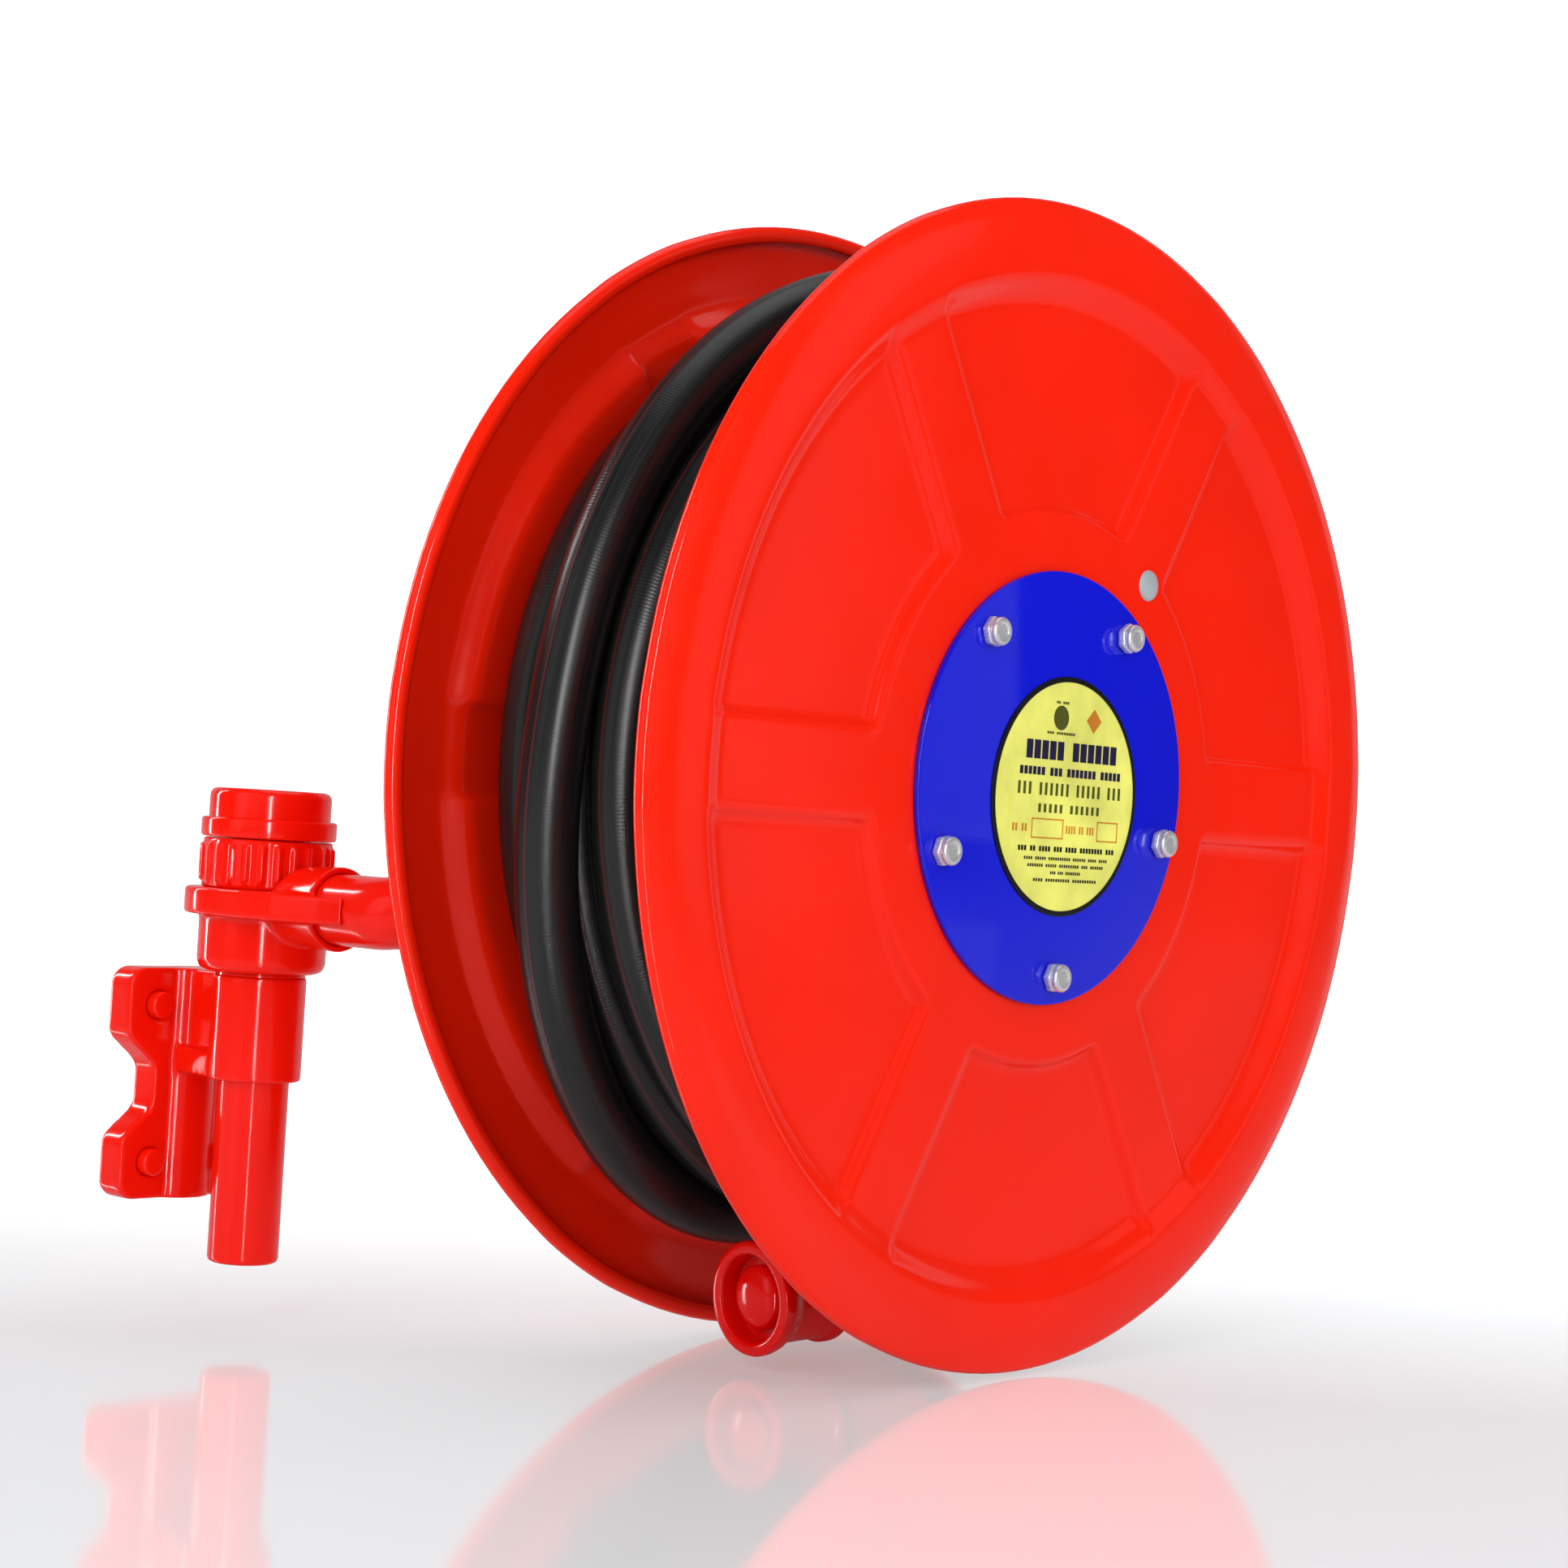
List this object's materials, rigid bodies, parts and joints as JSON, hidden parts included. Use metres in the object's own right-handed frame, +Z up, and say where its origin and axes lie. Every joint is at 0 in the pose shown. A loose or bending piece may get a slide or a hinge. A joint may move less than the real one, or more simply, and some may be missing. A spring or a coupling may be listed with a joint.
{
  "type": "fire hose reel",
  "caption": "Swinging fire hose reel: pressed discs and a hose-wound drum on a hollow hub, carried by a bent pipe arm that swings on the upright inlet pipe of a wall bracket.",
  "frame": {"origin": "Middle of the four wall screws, on the back face of the wall bracket.", "axes": "+X away from the wall along the reel's axis, +Y along the wall from the swing axis towards the reel, +Z up."},
  "size_m": [0.3822, 0.55, 0.55],
  "materials": {
    "red_enamel": "glossy",
    "blue_enamel": "glossy",
    "bright_steel": "satin",
    "zinc_steel": "satin",
    "spring_steel": "satin",
    "cast_grey": "matte",
    "hub_brass": "satin",
    "bronze": "satin",
    "seal_rubber": "matte",
    "hose_rubber": "semi-gloss",
    "label_yellow": "glossy",
    "plug_plastic": "satin",
    "nozzle_red": "glossy"
  },
  "bodies": {
    "wall_mount": {"wall_bracket": "red_enamel", "wall_screws": "red_enamel", "inlet_pipe": "red_enamel", "thrust_washer": "bronze", "thrust_collar": "red_enamel", "top_cap": "red_enamel"},
    "swing": {"swivel_body": "red_enamel", "grip_nut": "red_enamel", "lower_swivel_bush": "bronze", "upper_swivel_bush": "bronze", "swivel_seals": "seal_rubber", "swing_arm": "red_enamel", "hub_shaft": "bright_steel", "shaft_washer": "zinc_steel", "shaft_circlip": "spring_steel"},
    "reel": {"front_disc": "red_enamel", "back_disc": "red_enamel", "drum_core": "red_enamel", "front_spider": "cast_grey", "rear_spider": "cast_grey", "water_hub": "hub_brass", "front_hub_bush": "bronze", "rear_hub_bush": "bronze", "hub_seals": "seal_rubber", "hub_plate": "blue_enamel", "rear_hub_plate": "red_enamel", "hub_bolts": "zinc_steel", "hub_nuts": "zinc_steel", "label_plate": "label_yellow", "disc_plug": "plug_plastic", "outlet_elbow": "hub_brass", "hose_clip": "bright_steel", "hose_start": "hose_rubber", "hose_coil": "hose_rubber", "hose_tail": "hose_rubber", "hose_ferrule": "red_enamel", "nozzle_body": "nozzle_red", "nozzle_pintle": "nozzle_red", "nozzle_seal": "seal_rubber"},
    "nozzle_grip": {"nozzle_sleeve": "nozzle_red"}
  },
  "joints": [
    {"name": "swing_pivot", "type": "hinge", "parent": "wall_mount", "child": "swing", "pos_m": [0.064, 0, 0.091], "axis": [0, 0, 1], "range_deg": [-90, 20]},
    {"name": "reel_spin", "type": "hinge", "parent": "swing", "child": "reel", "pos_m": [0.28, 0.226, 0.168], "axis": [1, 0, 0], "continuous": true},
    {"name": "nozzle_twist", "type": "hinge", "parent": "reel", "child": "nozzle_grip", "pos_m": [0.281, 0.122, -0.076], "axis": [-0.1131, -0.9927, -0.0419], "range_deg": [0, 180]}
  ]
}
